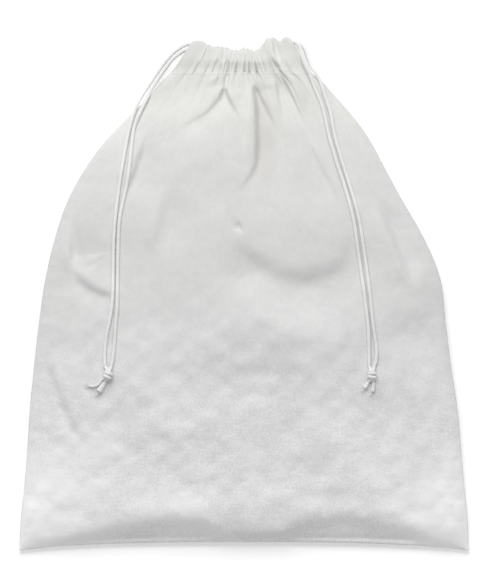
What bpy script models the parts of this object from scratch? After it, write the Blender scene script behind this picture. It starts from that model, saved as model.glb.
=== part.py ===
"""Drawstring produce bag of plain woven cotton, lying empty on its back with its mouth drawn nearly shut.

Frame: metres, +Z up from the surface that the bag lies on, +Y towards the mouth, +X to the right as seen
from above. The origin is under the middle of the bag. Two cords run round the mouth inside the casings: the
left one leaves them at the left end and the right one at the right end, each as two tails that end in one knot.
"""

import math

import bmesh
import bpy
import numpy as np
from mathutils import Vector

# The bag as it lies.
BOTTOM_Y = -0.1765
SLIT_FOOT_Y = 0.1345
PANEL_TOP_Y = 0.1511
CASING_FOOT_Y = 0.1514
PANEL_THICKNESS = 0.001
SEAM_GAP = 0.0003
TOUCH_GAP = 0.0003

# Edge of the lying bag: (y, left x, right x).
OUTLINE = [
    (-0.1765, -0.1535, 0.1535),
    (-0.1600, -0.1530, 0.1533),
    (-0.1270, -0.1497, 0.1503),
    (-0.0780, -0.1463, 0.1460),
    (-0.0280, -0.1412, 0.1387),
    (0.0045, -0.1370, 0.1357),
    (0.0290, -0.1312, 0.1275),
    (0.0540, -0.1245, 0.1137),
    (0.0785, -0.1125, 0.0997),
    (0.1030, -0.0955, 0.0872),
    (0.1195, -0.0797, 0.0755),
    (0.1345, -0.0645, 0.0622),
    (0.1440, -0.0562, 0.0535),
    (0.1511, -0.0490, 0.0445),
]
# Height of the front panel along the middle of the bag: (y, z).
CROWN = [
    (-0.1765, 0.0042),
    (-0.1720, 0.0090),
    (-0.1650, 0.0128),
    (-0.1550, 0.0160),
    (-0.1350, 0.0200),
    (-0.1000, 0.0255),
    (-0.0500, 0.0310),
    (0.0000, 0.0338),
    (0.0500, 0.0330),
    (0.1000, 0.0280),
    (0.1345, 0.0225),
    (0.1511, 0.0192),
]
# Height of the side seams: (y, z).
SEAM_HEIGHT = [(-0.1765, 0.0030), (-0.1500, 0.0045), (-0.1000, 0.0070), (0.0, 0.0090), (0.1511, 0.0110)]
SLIT_OPENING = 0.0050
ROWS = [-0.1765, -0.1720, -0.1650, -0.1550, -0.1350, -0.1100, -0.0800, -0.0500, -0.0200, 0.0100, 0.0400,
        0.0650, 0.0900, 0.1050, 0.1200, 0.1345, 0.1430, 0.1511]
COLUMNS = [-1.0, -0.95, -0.87, -0.75, -0.60, -0.40, -0.20, 0.0, 0.20, 0.40, 0.60, 0.75, 0.87, 0.95, 1.0]
CROWN_ROUNDNESS = (2.6, 0.6)
FLAT_SHARE = 0.60
FLAT_Y = (-0.1550, 0.0900)
NECK_RISE = 0.0038

# Casings: sleeves of turned-over cloth with the cords inside.
CASING_HEIGHT = 0.0080
FRONT_CASING_Z = 0.0180
BACK_CASING_Z = 0.0040
CASING_WALL = 0.0012
CASING_HALF_TOP = 0.0365
CASING_HALF_FOOT = {-1: 0.0470, 1: 0.0410}
# Top edge of the casings: (x, y).
CASING_TOP = [(-0.0365, 0.1720), (-0.0200, 0.1720), (0.0, 0.1700), (0.0120, 0.1708), (0.0240, 0.1765),
              (0.0365, 0.1755)]
CASING_STATIONS = 17
CASING_SIDES = 10
CASING_SQUARENESS = 0.6

# Drawcords.
CORD_DIAMETER = 0.0026
CORD_LIFT = 0.0006
CORD_SPACING = 0.0075
END_SPACING = 0.0040
CORD_SIDES = 2
RUN_DEPTH = 0.0040
RUN_SPACING = 0.0031
RUN_POINTS = 0.0045
RUN_X = (0.0379, 0.030, 0.020, 0.010, 0.0, -0.010, -0.020, -0.030)
TURN_REACH = 0.0030
TURN_STEPS = 6
KNOT_HALF = (0.0042, 0.0048, 0.0029)

# Routes of the tails, from the casing to the knot. Without a z, the cord lies on the front panel.
LEFT_FRONT_TAIL = [
    (-0.0386, 0.1649, 0.0180), (-0.0428, 0.1639, 0.0176), (-0.0485, 0.1597, 0.0160), (-0.0540, 0.1530, 0.0145),
    (-0.0590, 0.1460, 0.0142), (-0.0632, 0.1395, 0.0146), (-0.0665, 0.1330, 0.0165), (-0.0700, 0.1262, 0.0183),
    (-0.0735, 0.1185, 0.0199), (-0.0757, 0.1110), (-0.0770, 0.1010), (-0.0780, 0.0910), (-0.0795, 0.0790),
    (-0.0822, 0.0655), (-0.0845, 0.0550), (-0.0858, 0.0440), (-0.0864, 0.0250), (-0.0867, 0.0050),
    (-0.0870, -0.0100), (-0.0880, -0.0220), (-0.0888, -0.0350), (-0.0900, -0.0460), (-0.0910, -0.0508),
]
LEFT_BACK_TAIL = [
    (-0.0386, 0.1649, 0.0040), (-0.0438, 0.1648, 0.0042), (-0.0500, 0.1615, 0.0050), (-0.0557, 0.1552, 0.0062),
    (-0.0610, 0.1482, 0.0080), (-0.0665, 0.1400, 0.0105), (-0.0715, 0.1320, 0.0155), (-0.0752, 0.1240, 0.0178),
    (-0.0778, 0.1150, 0.0198), (-0.0802, 0.1040), (-0.0826, 0.0910), (-0.0846, 0.0790), (-0.0865, 0.0650),
    (-0.0882, 0.0500), (-0.0892, 0.0350), (-0.0896, 0.0150), (-0.0901, -0.0050), (-0.0920, -0.0190),
    (-0.0942, -0.0300), (-0.0953, -0.0420), (-0.0952, -0.0508),
]
RIGHT_FRONT_TAIL = [
    (0.0388, 0.1715, 0.0180), (0.0412, 0.1706, 0.0180), (0.0427, 0.1672, 0.0180), (0.0425, 0.1600, 0.0180),
    (0.0432, 0.1550, 0.0180), (0.0447, 0.1500, 0.0180), (0.0465, 0.1445, 0.0190), (0.0492, 0.1385),
    (0.0522, 0.1315), (0.0546, 0.1245), (0.0563, 0.1170), (0.0577, 0.1100), (0.0597, 0.1020), (0.0620, 0.0945),
    (0.0645, 0.0860), (0.0683, 0.0750), (0.0725, 0.0605), (0.0755, 0.0480), (0.0778, 0.0320), (0.0802, 0.0150),
    (0.0824, 0.0000), (0.0842, -0.0150), (0.0853, -0.0260), (0.0857, -0.0380), (0.0858, -0.0505),
]
RIGHT_BACK_TAIL = [
    (0.0386, 0.1715, 0.0040), (0.0420, 0.1707, 0.0042), (0.0447, 0.1672, 0.0055), (0.0462, 0.1610, 0.0080),
    (0.0477, 0.1555, 0.0115), (0.0500, 0.1500, 0.0160), (0.0520, 0.1445, 0.0180), (0.0540, 0.1385, 0.0190),
    (0.0566, 0.1310), (0.0592, 0.1230), (0.0612, 0.1120), (0.0632, 0.1030), (0.0655, 0.0955), (0.0682, 0.0865),
    (0.0718, 0.0750), (0.0762, 0.0605), (0.0792, 0.0480), (0.0818, 0.0320), (0.0842, 0.0150), (0.0862, 0.0000),
    (0.0876, -0.0150), (0.0890, -0.0260), (0.0907, -0.0380), (0.0905, -0.0460), (0.0893, -0.0505),
]
# Cut ends past the knots.
LEFT_KNOT = (-0.0932, -0.0560)
RIGHT_KNOT = (0.0874, -0.0560)
LEFT_FRONT_END = [(-0.0948, -0.0616), (-0.0968, -0.0652), (-0.0984, -0.0680)]
LEFT_BACK_END = [(-0.0978, -0.0597), (-0.0997, -0.0627), (-0.1030, -0.0642), (-0.1065, -0.0637)]
RIGHT_FRONT_END = [(0.0852, -0.0613), (0.0837, -0.0637), (0.0824, -0.0657)]
RIGHT_BACK_END = [(0.0888, -0.0614), (0.0886, -0.0645), (0.0880, -0.0682)]

# Sewing.
ALLOWANCE_WIDTH = 0.0060
ALLOWANCE_INSET = 0.0045
ALLOWANCE_THICKNESS = 0.0008
ALLOWANCE_GAP = 0.0004
ALLOWANCE_Y = (-0.14, 0.125)
STITCH_OFFSET = 0.0015
THREAD_WIDTH = 0.0008
THREAD_THICKNESS = 0.0005
STRAIGHT_SHARE = 0.9
HEM_WIDTH = 0.0040
HEM_THICKNESS = 0.0010
HEM_INSET = 0.0010
HEM_Y = (0.1380, 0.1430, 0.1501)
TACK_SIZE = (0.0012, 0.0030, 0.0026)
TACK_GAP = 0.0004
SMOOTH_ANGLE = math.radians(50)
FINE_STEPS = 12


# ---------------------------------------------------------------- curves and surfaces


def smooth(at, knots, column=1):
    """The value at one place of the smooth curve through the knots, whose first number is the place."""
    place = np.array([k[0] for k in knots])
    value = np.array([k[column] for k in knots])
    slope = np.gradient(value, place)
    at = min(max(at, place[0]), place[-1])
    i = min(int(np.searchsorted(place, at, side="right")) - 1, len(place) - 2)
    span = place[i + 1] - place[i]
    t = (at - place[i]) / span
    return (
        value[i] * (1 + 2 * t) * (1 - t) ** 2
        + value[i + 1] * t * t * (3 - 2 * t)
        + slope[i] * span * t * (1 - t) ** 2
        - slope[i + 1] * span * t * t * (1 - t)
    )


def edges(y):
    """The left and right edge of the panels, straight between their rows of points."""
    return [np.interp(y, ROWS, [smooth(row, OUTLINE, column) for row in ROWS]) for column in (1, 2)]


def across(u, y):
    """x at the share u of the way from the middle (0) to the left (-1) or the right (1) edge."""
    left, right = edges(y)
    return (left + right) / 2 + u * (right - left) / 2


def share_across(x, y):
    left, right = edges(y)
    return (2 * x - left - right) / (right - left)


def on_facets(surface, u, y):
    """The height of a panel's surface as its flat facets have it, for what lies against it."""
    j = min(max(int(np.searchsorted(ROWS, y)), 1), len(ROWS) - 1)
    ends = [np.interp(u, COLUMNS, [surface(c, row) for c in COLUMNS]) for row in ROWS[j - 1:j + 1]]
    return np.interp(y, ROWS[j - 1:j + 1], ends)


def slit_lift(y):
    """How far each panel's edge stands off the other's where the slit is open."""
    t = min(max((y - SLIT_FOOT_Y) / (PANEL_TOP_Y - SLIT_FOOT_Y), 0), 1)
    return SEAM_GAP / 2 + t * (SLIT_OPENING - SEAM_GAP) / 2


def front_inside(u, y):
    edge = smooth(y, SEAM_HEIGHT) + slit_lift(y)
    power, root = CROWN_ROUNDNESS
    top = smooth(y, CROWN) - PANEL_THICKNESS
    return edge + (top - edge) * max(1 - min(abs(u), 1) ** power, 0) ** root


def front_outside(u, y):
    return front_inside(u, y) + PANEL_THICKNESS


def back_outside(u, y):
    edge = smooth(y, SEAM_HEIGHT) - slit_lift(y) - PANEL_THICKNESS
    foot = max((FLAT_Y[0] - y) / (FLAT_Y[0] - BOTTOM_Y), 0) ** 2 * edge
    neck = max((y - FLAT_Y[1]) / (PANEL_TOP_Y - FLAT_Y[1]), 0) ** 2 * NECK_RISE
    middle = foot + neck
    rise = max((abs(u) - FLAT_SHARE) / (1 - FLAT_SHARE), 0) ** 2
    return middle + (edge - middle) * rise


def back_inside(u, y):
    return back_outside(u, y) + PANEL_THICKNESS


# ---------------------------------------------------------------- making objects


def material(name, colour, roughness):
    made = bpy.data.materials.new(name)
    made.use_nodes = True
    shader = made.node_tree.nodes["Principled BSDF"]
    shader.inputs["Base Color"].default_value = (*colour, 1)
    shader.inputs["Roughness"].default_value = roughness
    shader.inputs["Metallic"].default_value = 0
    return made


def add_mesh(name, points, faces, finish):
    mesh = bpy.data.meshes.new(name)
    mesh.from_pydata(points, [], faces)
    work = bmesh.new()
    work.from_mesh(mesh)
    bmesh.ops.recalc_face_normals(work, faces=work.faces)
    work.to_mesh(mesh)
    work.free()
    mesh.shade_smooth()
    mesh.set_sharp_from_angle(angle=SMOOTH_ANGLE)
    mesh.materials.append(finish)
    made = bpy.data.objects.new(name, mesh)
    bpy.context.collection.objects.link(made)
    return made


def slab(name, rows, finish):
    """A closed solid from rows of (x, y, low z, high z) of equal length."""
    count = len(rows[0])
    low = [(x, y, z) for row in rows for x, y, z, _ in row]
    high = [(x, y, z) for row in rows for x, y, _, z in row]
    above = len(low)
    faces = []
    for j in range(len(rows) - 1):
        for i in range(count - 1):
            a = j * count + i
            b, c, d = a + 1, a + count + 1, a + count
            faces += [(a, d, c, b), (above + a, above + b, above + c, above + d)]
    rim = list(range(count))
    rim += [j * count + count - 1 for j in range(1, len(rows))]
    rim += [(len(rows) - 1) * count + i for i in reversed(range(count - 1))]
    rim += [j * count for j in reversed(range(1, len(rows) - 1))]
    for a, b in zip(rim, rim[1:] + rim[:1]):
        faces.append((a, b, above + b, above + a))
    return add_mesh(name, low + high, faces, finish)


def through(points, spacing):
    """Points at the given spacing on the smooth curve through 3-D points."""
    knots = [Vector(p) for p in points]
    ends = [2 * knots[0] - knots[1]] + knots + [2 * knots[-1] - knots[-2]]
    fine = []
    for a, b, c, d in zip(ends, ends[1:], ends[2:], ends[3:]):
        for step in range(FINE_STEPS):
            t = step / FINE_STEPS
            fine.append(
                0.5 * (2 * b + (c - a) * t + (2 * a - 5 * b + 4 * c - d) * t * t
                       + (3 * b - a - 3 * c + d) * t ** 3)
            )
    fine.append(knots[-1])
    length = np.concatenate([[0], np.cumsum([(q - p).length for p, q in zip(fine, fine[1:])])])
    places = np.linspace(0, length[-1], max(int(round(length[-1] / spacing)), 2) + 1)
    columns = [np.interp(places, length, [p[k] for p in fine]) for k in range(3)]
    return list(zip(*columns))


def add_cord(name, points, finish, spacing=CORD_SPACING):
    curve = bpy.data.curves.new(name, "CURVE")
    curve.dimensions = "3D"
    curve.bevel_depth = CORD_DIAMETER / 2
    curve.bevel_resolution = CORD_SIDES
    curve.render_resolution_u = 0
    curve.use_fill_caps = True
    path = through(points, spacing)
    spline = curve.splines.new("POLY")
    spline.points.add(len(path) - 1)
    for point, place in zip(spline.points, path):
        point.co = (*place, 1)
    curve.materials.append(finish)
    made = bpy.data.objects.new(name, curve)
    bpy.context.collection.objects.link(made)
    return made


# ---------------------------------------------------------------- the pieces


def panels(cotton):
    for name, low, high in (
        ("front_panel", front_inside, front_outside),
        ("back_panel", back_outside, back_inside),
    ):
        rows = [[(across(u, y), y, low(u, y), high(u, y)) for u in COLUMNS] for y in ROWS]
        slab(name, rows, cotton)


def casing_half(side, y):
    """Distance from the middle of the bag to the casings' slanted end on one side, at one height y."""
    top = smooth(math.copysign(CASING_HALF_TOP, side), CASING_TOP)
    share = (y - CASING_FOOT_Y) / (top - CASING_FOOT_Y)
    foot = CASING_HALF_FOOT[-1 if side < 0 else 1]
    return foot + (CASING_HALF_TOP - foot) * share


def casing(name, middle_z, cotton):
    """A flattened sleeve, open at both ends, whose top edge follows CASING_TOP and whose ends are slanted."""
    rings = []
    for station in range(CASING_STATIONS):
        s = -1 + 2 * station / (CASING_STATIONS - 1)
        top = smooth(s * CASING_HALF_TOP, CASING_TOP)
        half = (top - CASING_FOOT_Y) / 2
        for wall in (0, CASING_WALL):
            ring = []
            for side in range(CASING_SIDES):
                angle = 2 * math.pi * (side + 0.5) / CASING_SIDES
                c, n = math.cos(angle), math.sin(angle)
                y = CASING_FOOT_Y + half + (half - wall) * math.copysign(abs(c) ** CASING_SQUARENESS, c)
                z = middle_z + (CASING_HEIGHT / 2 - wall) * math.copysign(abs(n) ** CASING_SQUARENESS, n)
                ring.append((s * casing_half(s, y), y, z))
            rings.append(ring)
    points = [p for ring in rings for p in ring]
    faces = []
    for station in range(CASING_STATIONS - 1):
        for layer in (0, 1):
            a, b = (2 * station + layer) * CASING_SIDES, (2 * station + 2 + layer) * CASING_SIDES
            for i in range(CASING_SIDES):
                k = (i + 1) % CASING_SIDES
                faces.append((a + i, a + k, b + k, b + i))
    for station in (0, CASING_STATIONS - 1):
        a, b = 2 * station * CASING_SIDES, (2 * station + 1) * CASING_SIDES
        for i in range(CASING_SIDES):
            k = (i + 1) % CASING_SIDES
            faces.append((a + i, a + k, b + k, b + i))
    return add_mesh(name, points, faces, cotton)


def strip_along(name, places, width, low, high, finish, lengthwise):
    """A narrow slab along places (x, y), which runs along Y if lengthwise and along X if not."""
    rows = []
    for x, y in places:
        row = []
        for side in (-0.5, 0.5):
            px, py = (x + side * width, y) if lengthwise else (x, y + side * width)
            u = share_across(px, py)
            row.append((px, py, low(u, py), high(u, py)))
        rows.append(row)
    return slab(name, rows, finish)


def above_back(gap, thickness):
    """The lower and upper surface of a layer that lies on the inside of the back panel."""
    return (
        lambda u, y: on_facets(back_inside, u, y) + gap,
        lambda u, y: on_facets(back_inside, u, y) + gap + thickness,
    )


def seams(cotton, thread):
    ply = above_back(ALLOWANCE_GAP, ALLOWANCE_THICKNESS)
    stitch = above_back(ALLOWANCE_GAP + ALLOWANCE_THICKNESS + TOUCH_GAP, THREAD_THICKNESS)
    side_rows = [y for y in ROWS if ALLOWANCE_Y[0] < y < ALLOWANCE_Y[1]]
    for side, name in ((-1, "left"), (1, "right")):
        edge = [(across(side, y) - side * (ALLOWANCE_INSET + ALLOWANCE_WIDTH / 2), y) for y in side_rows]
        strip_along(f"{name}_seam_allowance", edge, ALLOWANCE_WIDTH, *ply, cotton, True)
        line = [(x + side * STITCH_OFFSET, y) for x, y in edge]
        strip_along(f"{name}_seam_thread", line, THREAD_WIDTH, *stitch, thread, True)
    foot_y = BOTTOM_Y + ALLOWANCE_INSET + ALLOWANCE_WIDTH / 2
    foot = [(across(u, foot_y), foot_y) for u in COLUMNS if abs(u) < STRAIGHT_SHARE]
    strip_along("bottom_seam_allowance", foot, ALLOWANCE_WIDTH, *ply, cotton, False)
    line = [(x, y - STITCH_OFFSET) for x, y in foot]
    strip_along("bottom_seam_thread", line, THREAD_WIDTH, *stitch, thread, False)


def casing_threads(thread):
    """The rows of stitches that close the casings, on the outside of each panel just under its casing."""
    y = PANEL_TOP_Y - THREAD_WIDTH
    line = [(across(u, y), y) for u in COLUMNS if abs(u) < STRAIGHT_SHARE]
    strip_along(
        "front_casing_thread", line, THREAD_WIDTH,
        lambda u, y: on_facets(front_outside, u, y) + TOUCH_GAP,
        lambda u, y: on_facets(front_outside, u, y) + TOUCH_GAP + THREAD_THICKNESS,
        thread, False,
    )
    strip_along(
        "back_casing_thread", line, THREAD_WIDTH,
        lambda u, y: on_facets(back_outside, u, y) - TOUCH_GAP - THREAD_THICKNESS,
        lambda u, y: on_facets(back_outside, u, y) - TOUCH_GAP,
        thread, False,
    )


def slit_hems(cotton):
    """The turned edges of the two slits, inside the panels' edges above the side seams."""
    for side, name in ((-1, "left"), (1, "right")):
        edge = [(across(side, y) - side * (HEM_INSET + HEM_WIDTH / 2), y) for y in HEM_Y]
        strip_along(
            f"front_{name}_slit_hem", edge, HEM_WIDTH,
            lambda u, y: on_facets(front_inside, u, y) - TOUCH_GAP - HEM_THICKNESS,
            lambda u, y: on_facets(front_inside, u, y) - TOUCH_GAP,
            cotton, True,
        )
        strip_along(
            f"back_{name}_slit_hem", edge, HEM_WIDTH,
            lambda u, y: on_facets(back_inside, u, y) + TOUCH_GAP,
            lambda u, y: on_facets(back_inside, u, y) + TOUCH_GAP + HEM_THICKNESS,
            cotton, True,
        )


def slit_tacks(thread):
    """A bar tack over the seam at the foot of each slit."""
    for side, name in ((-1, "left"), (1, "right")):
        work = bmesh.new()
        bmesh.ops.create_cube(work, size=1)
        bmesh.ops.scale(work, vec=TACK_SIZE, verts=work.verts)
        mesh = bpy.data.meshes.new(f"{name}_slit_tack")
        work.to_mesh(mesh)
        work.free()
        mesh.materials.append(thread)
        tack = bpy.data.objects.new(f"{name}_slit_tack", mesh)
        y = SLIT_FOOT_Y - TACK_SIZE[1] / 2
        reach = max(abs(across(side, y + k * TACK_SIZE[1] / 2)) for k in (-1, 1))
        tack.location = (side * (reach + TACK_GAP + TACK_SIZE[0] / 2), y, smooth(y, SEAM_HEIGHT))
        bpy.context.collection.objects.link(tack)


def loop(name, side, offset, cord):
    """A cord's stretch inside the casings: along the front one, round the far end, and back in the back one."""
    far = -side
    run = [(side * x, smooth(side * x, CASING_TOP) - offset) for x in RUN_X]
    end_y = smooth(far * CASING_HALF_TOP, CASING_TOP) - offset
    front = [(x, y, FRONT_CASING_Z) for x, y in run]
    back = [(x, y, BACK_CASING_Z) for x, y in run]
    middle = (FRONT_CASING_Z + BACK_CASING_Z) / 2
    radius = (FRONT_CASING_Z - BACK_CASING_Z) / 2
    turn_x = far * (casing_half(far, end_y) - TOUCH_GAP)
    turn = []
    for step in range(TURN_STEPS + 1):
        angle = math.pi * step / TURN_STEPS
        turn.append((turn_x + far * TURN_REACH * math.sin(angle), end_y, middle + radius * math.cos(angle)))
    add_cord(name, front + turn + back[::-1], cord, RUN_POINTS)


def on_panel(points, lift=CORD_DIAMETER / 2 + CORD_LIFT):
    """Points with a z as they are, and the others at rest on the front panel."""
    laid = []
    for point in points:
        x, y = point[:2]
        z = point[2] if len(point) == 3 else on_facets(front_outside, share_across(x, y), y) + lift
        laid.append((x, y, z))
    return laid


def drawcords(cord):
    loop("left_cord_loop", -1, RUN_DEPTH + RUN_SPACING, cord)
    loop("right_cord_loop", 1, RUN_DEPTH, cord)
    for name, route in (
        ("left_cord_front_tail", LEFT_FRONT_TAIL),
        ("left_cord_back_tail", LEFT_BACK_TAIL),
        ("right_cord_front_tail", RIGHT_FRONT_TAIL),
        ("right_cord_back_tail", RIGHT_BACK_TAIL),
        ("left_cord_front_end", LEFT_FRONT_END),
        ("left_cord_back_end", LEFT_BACK_END),
        ("right_cord_front_end", RIGHT_FRONT_END),
        ("right_cord_back_end", RIGHT_BACK_END),
    ):
        add_cord(name, on_panel(route), cord, CORD_SPACING if "tail" in name else END_SPACING)


def knots(cord):
    for name, (x, y) in (("left_cord_knot", LEFT_KNOT), ("right_cord_knot", RIGHT_KNOT)):
        work = bmesh.new()
        bmesh.ops.create_icosphere(work, subdivisions=2, radius=1)
        bmesh.ops.scale(work, vec=KNOT_HALF, verts=work.verts)
        mesh = bpy.data.meshes.new(name)
        work.to_mesh(mesh)
        work.free()
        mesh.shade_smooth()
        mesh.materials.append(cord)
        knot = bpy.data.objects.new(name, mesh)
        knot.location = (x, y, on_facets(front_outside, share_across(x, y), y) + KNOT_HALF[2] + CORD_LIFT)
        bpy.context.collection.objects.link(knot)


def main():
    for old in list(bpy.data.objects):
        bpy.data.objects.remove(old, do_unlink=True)
    cotton = material("cotton", (0.80, 0.80, 0.78), 0.92)
    thread = material("thread", (0.86, 0.86, 0.84), 0.75)
    cord = material("cord", (0.88, 0.88, 0.86), 0.85)
    panels(cotton)
    casing("front_casing", FRONT_CASING_Z, cotton)
    casing("back_casing", BACK_CASING_Z, cotton)
    seams(cotton, thread)
    casing_threads(thread)
    slit_hems(cotton)
    slit_tacks(thread)
    drawcords(cord)
    knots(cord)


main()
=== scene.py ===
import math

import bpy
import numpy as np
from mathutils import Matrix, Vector, noise
from mathutils.bvhtree import BVHTree


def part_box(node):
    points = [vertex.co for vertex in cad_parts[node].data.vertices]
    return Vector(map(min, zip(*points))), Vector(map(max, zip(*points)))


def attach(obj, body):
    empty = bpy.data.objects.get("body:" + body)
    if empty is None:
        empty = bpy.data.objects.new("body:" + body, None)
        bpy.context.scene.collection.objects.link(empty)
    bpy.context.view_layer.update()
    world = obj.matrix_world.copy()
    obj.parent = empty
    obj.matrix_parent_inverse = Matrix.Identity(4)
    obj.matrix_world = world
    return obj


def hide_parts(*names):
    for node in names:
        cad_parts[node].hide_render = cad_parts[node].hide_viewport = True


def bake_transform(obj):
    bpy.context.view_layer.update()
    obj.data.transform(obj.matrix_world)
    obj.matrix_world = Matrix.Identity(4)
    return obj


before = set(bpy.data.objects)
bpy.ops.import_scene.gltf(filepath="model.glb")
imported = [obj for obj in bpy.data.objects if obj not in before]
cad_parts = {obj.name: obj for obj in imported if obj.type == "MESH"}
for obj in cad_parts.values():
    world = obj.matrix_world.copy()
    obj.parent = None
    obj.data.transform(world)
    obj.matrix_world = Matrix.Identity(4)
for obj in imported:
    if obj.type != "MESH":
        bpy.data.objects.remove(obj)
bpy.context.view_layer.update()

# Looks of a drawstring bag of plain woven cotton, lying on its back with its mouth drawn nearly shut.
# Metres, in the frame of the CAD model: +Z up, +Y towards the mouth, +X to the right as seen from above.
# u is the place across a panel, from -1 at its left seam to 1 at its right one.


def metres(table):
    """A number written in millimetres, or nested lists of such numbers, in metres."""
    if isinstance(table, (list, tuple)):
        return [metres(entry) for entry in table]
    return round(table / 1000, 6)


# Cloth: a panel's flat size, the share of it below the casing's stitches, and the y between which the share of it
# that would follow the mouth grows from none to all.
CLOTH_THICKNESS = 0.0006
FLAT_SIZE = (0.305, 0.405)
STITCH_SHARE = 0.9
SPREAD_Y = (-0.02, 0.13)

# Colours: low in the bag, its thin sides, middle, near the mouth, painted shade in the hollow right of the upright
# fold and painted shade along the casing's top edge.
THREAD_TURNS = 2 * math.pi / 0.00062
THREAD_WANDER = 9.0
SLUB_SCALES = ((1400.0, 90.0, 1.0), (90.0, 1400.0, 1.0))
COTTON_PALE = (0.85, 0.85, 0.85)
COTTON_PALE_SHADE = (0.75, 0.75, 0.755)
COTTON_THIN = (0.93, 0.93, 0.93)
COTTON_MIDDLE = (0.715, 0.715, 0.71)
COTTON_MIDDLE_SHADE = (0.67, 0.67, 0.665)
COTTON_WARM = (0.79, 0.79, 0.765)
COTTON_WARM_SHADE = (0.71, 0.71, 0.68)
# Painted shade: darkens the hollow right of the upright fold, a little warm.
COTTON_PAINTED_SHADE = (0.66, 0.645, 0.615)
PAINTED_SHADE_PLACE = (0.029, 0.316)
PAINTED_SHADE_REACH = (0.021, 0.044)
# Painted shade along the casing's top edge, where the cloth curls over.
COTTON_PAINTED_EDGE_SHADE = (0.64, 0.64, 0.63)
TOP_FLAT_Y = 0.385
SEED_SPECK = (0.35, 0.33, 0.3)
CORD_COLOURS = ((0.86, 0.86, 0.855), (0.73, 0.73, 0.725))
THREAD_COLOURS = ((0.74, 0.74, 0.72), (0.6, 0.6, 0.58))
CORD_FIBRES = 4200.0
THREAD_FIBRES = 9000.0

# Grid of a panel, and its smooth form before its folds, which fade over SEAM_FADE of u at the side seams.
ACROSS = 104
ALONG = 112
FINER = 3
EDGE_CROWDING = 1.15
SEAM_FADE = 0.12
CROWN_ROUNDNESS = (2.6, 0.62)
FOOT_CURVE = 0.0055
STITCH_Y = 0.1514
STITCH_Z = {"front": 0.0206, "back": 0.004}
STITCH_REACH = 0.018
STITCH_DIP = 0.004
BACK_FLAT = 0.0006
BACK_FOOT = (-0.155, 0.0215)
BACK_NECK_Y = 0.09
BACK_SIDE = 0.6
BACK_GATHERS = 0.5
LOWEST = 0.0002
SEAM_GAP = 0.00015

# Foot of the front panel: its roll (height, reach), a slope that no fold goes below, and the seam's welt (place,
# width, height).
FOOT_BULGE = (0.003, 0.015)
FOOT_SLOPE = 0.3
FOOT_SOFT = 0.0012
FOOT_WELT = (0.0022, 0.001, 0.0002)

# Creases, wide, sharp, fine and along the side seams: (height, size, seed offset, how much x is squeezed).
CREASES = ((0.00045, 0.03, 0, 1), (0.0003, 0.014, 3, 1), (0.00016, 0.0045, 7, 1), (0.0006, 0.0065, 11, 0.25))
CREASES_LOW_Y = (-0.03, 0.05)
# Relief fades out over ROW_FADE of y at the foot and at the stitches.
ROW_FADE = 0.004

# Slits, seam allowances and thread.
SLIT_FOOT_Y = 0.1345
HEM_COLUMNS = 10
TACK_BARS = 9
TACK_INSET = 0.0016
TACK_BULGE = 0.0011
ALLOWANCE_INSET = 0.0075
ALLOWANCE_WIDTH = 0.006
ALLOWANCE_THICKNESS = 0.001
ALLOWANCE_RAGGED = 0.0075
ALLOWANCE_POINTS = 90
SIDE_ALLOWANCE_Y = (-0.16, 0.127)
FOOT_ALLOWANCE_X = (-0.136, 0.136)
STITCH_LENGTH = 0.0026
STITCH_GAP = 0.0006
STITCH_RADIUS = 0.00022
STITCH_STEP = 0.0004
STITCH_SIDES = 6

# Gathers: where the cloth is pinched along the mouth, how high each pleat between two pinches stands, and how far
# the pinches run down the bag. Puckers are small dents just above the casing's stitches.
PINCHES = metres([-49, -38.5, -26, -16.5, -11.3, -5.5, 0.7, 3.8, 8.9, 19.9, 25, 32.2, 44.5])
PLEAT_HEIGHTS = metres([0.8, 1.1, 2.2, 3.3, 3.6, 3.8, 3.6, 3.6, 3.4, 3.2, 3.6, 1.8])
PLEAT_LENGTHS = metres([20, 16, 12, 12, 9, 7, 6, 6, 12, 30, 28, 20])
PINCH_WIDTH = 0.0017
PINCH_FADE = 0.0095
PLEAT_FADE = 0.045
PUCKERS = metres([-34, -21.5, -13.6, -8.3, -5.6, -3.5, 0.2, 3.7, 6, 9, 11.8, 15.2, 29])
PUCKER_DEPTH = 0.0017
PUCKER_WIDTH = 0.00055
PUCKER_PLACE = (0.0022, 0.0042)

# Casings: the front one's top edge as (x, y), the x of their ends, and their scallops. The panels go on inside them
# in two rows TUCK apart.
TOP_EDGE = metres([
    (-38.5, 170), (-34.5, 172.2), (-30, 172.7), (-26.5, 171.2), (-23, 169.3), (-16, 168.7), (-9.6, 168),
    (-6.9, 166.6), (-3, 167.6), (0, 168.4), (3.5, 167.6), (5.8, 166.5), (10, 166.8), (13.5, 170.4), (16.5, 174.2),
    (18.8, 175.3), (21.2, 174.2), (23.8, 172.5), (26.2, 173.8), (28.8, 175), (31.8, 174.2), (34.5, 172.2),
    (38.5, 170),
])
BACK_TOP_LOWER = 0.0012
CASING_RING = 48
CASING_TOP = (-0.0365, 0.033)
CASING_FLARE = 0.85
CASING_SWAY = 0.0012
SCALLOP = 0.0022
SCALLOP_NOISE = (0.0008, 0.004)
CASING_HEIGHT = 0.005
CASING_WALL = 0.0014
BACK_CASING_LOWEST = 0.0007
CASING_Z = {"front": 0.0174, "back": 0.004}
TUCK = 0.0009
TUCK_DRAW = 0.1
TUCK_FLAT = 0.006

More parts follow.
